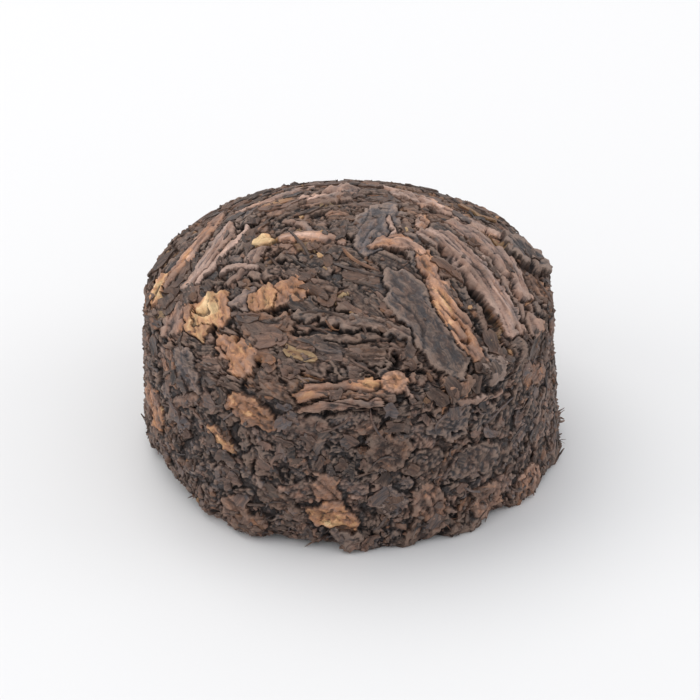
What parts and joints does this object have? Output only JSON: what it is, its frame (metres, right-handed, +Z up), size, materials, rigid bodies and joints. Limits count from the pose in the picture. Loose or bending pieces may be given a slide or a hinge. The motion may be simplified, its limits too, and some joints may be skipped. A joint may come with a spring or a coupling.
{
  "type": "pu-erh tuocha",
  "caption": "Mini tuocha of dark pressed pu-erh tea: a small drum with a low dome on top, made of flattened leaves and rolled strands, with a hollow underneath.",
  "frame": {"origin": "centre of the footprint, on the surface that the tuocha stands on", "axes": "+Z up through the top of the dome, the shown side faces -Y"},
  "size_m": [0.0228, 0.0232, 0.0135],
  "materials": {
    "pressed_tea": "matt pressed tea leaves, dark brown with redder and golden strands"
  },
  "bodies": {
    "root": {"tuocha": "pressed_tea"}
  },
  "joints": []
}
